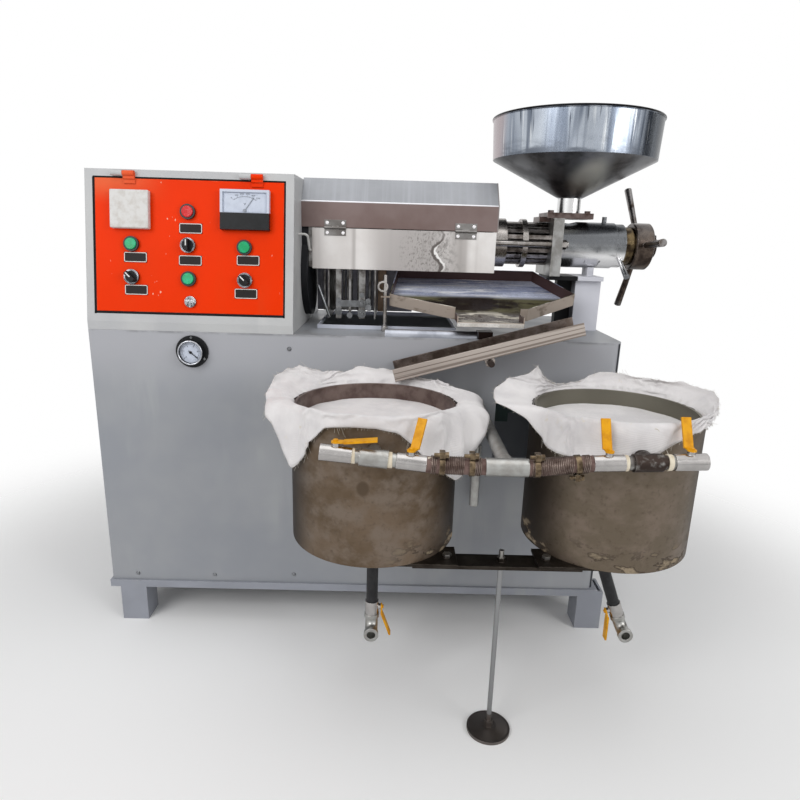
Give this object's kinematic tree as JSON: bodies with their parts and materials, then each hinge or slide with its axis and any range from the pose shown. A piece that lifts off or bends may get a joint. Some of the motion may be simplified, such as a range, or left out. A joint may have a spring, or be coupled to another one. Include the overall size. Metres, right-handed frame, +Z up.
{
  "type": "screw oil press",
  "caption": "Screw oil press with a control cabinet, seed hopper, press cage, oil tray, tipping chute and two vacuum filter barrels on one steel stand.",
  "frame": {"origin": "middle of the bounding box on the floor", "axes": "+Z up, +X towards the hopper end, the operator stands on the -Y side"},
  "size_m": [1.1772, 0.8072, 1.088],
  "materials": {
    "base_frame": "semi-gloss paint",
    "lower_housing": "satin paint, slightly dusty",
    "upper_cabinet": "satin paint",
    "hood": "satin paint with a brownish oil film",
    "control_door": "satin orange powder coat",
    "door_lock": "gloss with a pale centre",
    "controller": "off-white, lightly textured",
    "voltmeter_case": "black case, white dial",
    "voltmeter_needle": "matt black",
    "switch_rings": "satin",
    "red_button": "gloss",
    "green_button_left": "gloss",
    "green_button_right": "gloss",
    "green_button_lower": "gloss",
    "selector_upper": "satin black with a white pointer",
    "selector_left": "satin black with a white pointer",
    "selector_right": "satin black with a white pointer",
    "label_plates": "dark with a white frame",
    "gauge_case": "black, white dial",
    "gauge_needle": "matt black",
    "panel_screws": "zinc plated",
    "hood_hinge_leaves": "dull",
    "flap_hinge_leaves": "dull",
    "guard_flap": "stained stainless",
    "gear_motor": "black enamel",
    "vacuum_pump": "machine enamel",
    "press_screw": "turned, worn",
    "cage_bars": "oily steel",
    "cage_rings": "turned",
    "discharge_frame": "machined, oily",
    "feed_flange": "silver paint",
    "feed_housing": "turned",
    "choke_sleeve": "threaded, oily",
    "lock_ring": "turned",
    "adjusting_hub": "turned and nickel plated",
    "tie_rods": "bright drawn",
    "support_post": "pale grey paint",
    "hopper": "polished stainless, dark rim",
    "hopper_clamp": "brownish painted steel",
    "oil_tray": "stained stainless",
    "tipping_chute": "stained stainless",
    "barrels": "weathered brown",
    "filter_plates": "perforated",
    "filter_ring_left": "oily",
    "filter_ring_right": "oily",
    "filter_cloths": "woven cotton",
    "barrel_supports": "galvanised and stained",
    "drain_pipes": "black pipe",
    "valve_bodies": "satin chrome plated brass",
    "pipe_fittings": "galvanised",
    "vacuum_hoses": "red-brown, wire bound",
    "hose_clamps": "dull",
    "valve_lever_1": "yellow vinyl coated",
    "valve_lever_2": "yellow vinyl coated",
    "valve_lever_3": "yellow vinyl coated",
    "valve_lever_4": "yellow vinyl coated",
    "drain_lever_left": "yellow vinyl coated",
    "drain_lever_right": "yellow vinyl coated",
    "heater_cable": "white sleeve",
    "deck_fittings": "bright half-round strip"
  },
  "bodies": {
    "machine": {"base_frame": "base_frame", "lower_housing": "lower_housing", "upper_cabinet": "upper_cabinet", "hood": "hood", "gauge_case": "gauge_case", "panel_screws": "panel_screws", "hood_hinge_leaves": "hood_hinge_leaves", "gear_motor": "gear_motor", "vacuum_pump": "vacuum_pump", "cage_bars": "cage_bars", "cage_rings": "cage_rings", "discharge_frame": "discharge_frame", "feed_flange": "feed_flange", "feed_housing": "feed_housing", "tie_rods": "tie_rods", "support_post": "support_post", "hopper": "hopper", "hopper_clamp": "hopper_clamp", "oil_tray": "oil_tray", "barrels": "barrels", "filter_plates": "filter_plates", "filter_cloths": "filter_cloths", "barrel_supports": "barrel_supports", "drain_pipes": "drain_pipes", "valve_bodies": "valve_bodies", "pipe_fittings": "pipe_fittings", "vacuum_hoses": "vacuum_hoses", "hose_clamps": "hose_clamps", "heater_cable": "heater_cable", "deck_fittings": "deck_fittings"},
    "door": {"control_door": "control_door", "controller": "controller", "voltmeter_case": "voltmeter_case", "switch_rings": "switch_rings", "label_plates": "label_plates"},
    "door_lock": {"door_lock": "door_lock"},
    "voltmeter_needle": {"voltmeter_needle": "voltmeter_needle"},
    "red_button": {"red_button": "red_button"},
    "green_button_left": {"green_button_left": "green_button_left"},
    "green_button_right": {"green_button_right": "green_button_right"},
    "green_button_lower": {"green_button_lower": "green_button_lower"},
    "selector_upper": {"selector_upper": "selector_upper"},
    "selector_left": {"selector_left": "selector_left"},
    "selector_right": {"selector_right": "selector_right"},
    "gauge_needle": {"gauge_needle": "gauge_needle"},
    "guard_flap": {"guard_flap": "guard_flap", "flap_hinge_leaves": "flap_hinge_leaves"},
    "tipping_chute": {"tipping_chute": "tipping_chute"},
    "valve_lever_1": {"valve_lever_1": "valve_lever_1"},
    "valve_lever_2": {"valve_lever_2": "valve_lever_2"},
    "valve_lever_3": {"valve_lever_3": "valve_lever_3"},
    "valve_lever_4": {"valve_lever_4": "valve_lever_4"},
    "drain_lever_left": {"drain_lever_left": "drain_lever_left"},
    "drain_lever_right": {"drain_lever_right": "drain_lever_right"},
    "choke_sleeve": {"choke_sleeve": "choke_sleeve"},
    "adjusting_hub": {"adjusting_hub": "adjusting_hub"},
    "lock_ring": {"lock_ring": "lock_ring"},
    "press_screw": {"press_screw": "press_screw"},
    "filter_ring_left": {"filter_ring_left": "filter_ring_left"},
    "filter_ring_right": {"filter_ring_right": "filter_ring_right"}
  },
  "joints": [
    {"name": "control_door_hinge", "type": "hinge", "parent": "machine", "child": "door", "pos_m": [-0.38265, 0.03017, 0.94147], "axis": [-1, 0, 0], "range_deg": [0, 105]},
    {"name": "door_lock_turn", "type": "hinge", "parent": "door", "child": "door_lock", "pos_m": [-0.38165, -0.00443, 0.70392], "axis": [0, -0.986, 0.1668], "range_deg": [0, 90]},
    {"name": "voltmeter_needle_swing", "type": "hinge", "parent": "door", "child": "voltmeter_needle", "pos_m": [-0.27465, 0.01597, 0.87846], "axis": [0, -0.986, 0.1668], "range_deg": [-10, 90]},
    {"name": "red_button_press", "type": "slide", "parent": "door", "child": "red_button", "axis": [0, 0.986, -0.1668], "range_m": [0, 0.0034], "stiffness_N_per_m": 300},
    {"name": "green_button_left_press", "type": "slide", "parent": "door", "child": "green_button_left", "axis": [0, 0.986, -0.1668], "range_m": [0, 0.0034], "stiffness_N_per_m": 300},
    {"name": "green_button_right_press", "type": "slide", "parent": "door", "child": "green_button_right", "axis": [0, 0.986, -0.1668], "range_m": [0, 0.0034], "stiffness_N_per_m": 300},
    {"name": "green_button_lower_press", "type": "slide", "parent": "door", "child": "green_button_lower", "axis": [0, 0.986, -0.1668], "range_m": [0, 0.0034], "stiffness_N_per_m": 300},
    {"name": "selector_upper_turn", "type": "hinge", "parent": "door", "child": "selector_upper", "pos_m": [-0.38565, 0.00865, 0.81124], "axis": [0, -0.986, 0.1668], "range_deg": [-45, 45]},
    {"name": "selector_left_turn", "type": "hinge", "parent": "door", "child": "selector_left", "pos_m": [-0.49465, -0.00185, 0.74912], "axis": [0, -0.986, 0.1668], "range_deg": [-90, 0]},
    {"name": "selector_right_turn", "type": "hinge", "parent": "door", "child": "selector_right", "pos_m": [-0.27565, -0.00202, 0.74814], "axis": [0, -0.986, 0.1668], "range_deg": [-90, 0]},
    {"name": "gauge_needle_swing", "type": "hinge", "parent": "machine", "child": "gauge_needle", "pos_m": [-0.38165, -0.02335, 0.607], "axis": [0, -1, 0], "range_deg": [0, 270]},
    {"name": "guard_flap_hinge", "type": "hinge", "parent": "machine", "child": "guard_flap", "pos_m": [0.03335, 0.11615, 0.85225], "axis": [-1, 0, 0], "range_deg": [0, 120]},
    {"name": "chute_tip", "type": "hinge", "parent": "machine", "child": "tipping_chute", "pos_m": [0.19835, -0.06235, 0.617], "axis": [0, 1, 0], "range_deg": [0, 31.2]},
    {"name": "valve_lever_1_turn", "type": "hinge", "parent": "machine", "child": "valve_lever_1", "pos_m": [-0.06165, -0.38935, 0.53775], "axis": [0, 0, 1], "range_deg": [-90, 0]},
    {"name": "valve_lever_2_turn", "type": "hinge", "parent": "machine", "child": "valve_lever_2", "pos_m": [0.04685, -0.38935, 0.52711], "axis": [0, 0, 1], "range_deg": [-90, 0]},
    {"name": "valve_lever_3_turn", "type": "hinge", "parent": "machine", "child": "valve_lever_3", "pos_m": [0.33185, -0.38935, 0.53296], "axis": [0, 0, 1], "range_deg": [-90, 0]},
    {"name": "valve_lever_4_turn", "type": "hinge", "parent": "machine", "child": "valve_lever_4", "pos_m": [0.44985, -0.38935, 0.538], "axis": [0, 0, 1], "range_deg": [0, 90]},
    {"name": "drain_lever_left_turn", "type": "hinge", "parent": "machine", "child": "drain_lever_left", "pos_m": [-0.01065, -0.21135, 0.173], "axis": [1, 0, 0], "range_deg": [-90, 0]},
    {"name": "drain_lever_right_turn", "type": "hinge", "parent": "machine", "child": "drain_lever_right", "pos_m": [0.44389, -0.21135, 0.17982], "axis": [-0.9371, 0, -0.349], "range_deg": [0, 90]},
    {"name": "choke_slide", "type": "slide", "parent": "machine", "child": "choke_sleeve", "axis": [1, 0, 0], "range_m": [0, 0.0081]},
    {"name": "adjusting_hub_turn", "type": "hinge", "parent": "choke_sleeve", "child": "adjusting_hub", "pos_m": [0.55435, 0.19365, 0.831], "axis": [1, 0, 0], "range_deg": [0, 360]},
    {"name": "lock_ring_turn", "type": "hinge", "parent": "machine", "child": "lock_ring", "pos_m": [0.50435, 0.19365, 0.831], "axis": [1, 0, 0], "range_deg": [-60, 60]},
    {"name": "screw_turn", "type": "hinge", "parent": "machine", "child": "press_screw", "pos_m": [0.11635, 0.19365, 0.831], "axis": [1, 0, 0], "continuous": true},
    {"name": "filter_ring_left_lift", "type": "slide", "parent": "machine", "child": "filter_ring_left", "axis": [0, 0, 1], "range_m": [0, 0.006]},
    {"name": "filter_ring_right_lift", "type": "slide", "parent": "machine", "child": "filter_ring_right", "axis": [0, 0, 1], "range_m": [0, 0.006]}
  ],
  "couplings": [
    {"joint": "choke_slide", "follows": "adjusting_hub_turn", "m_per_rad": 0.0012732}
  ]
}
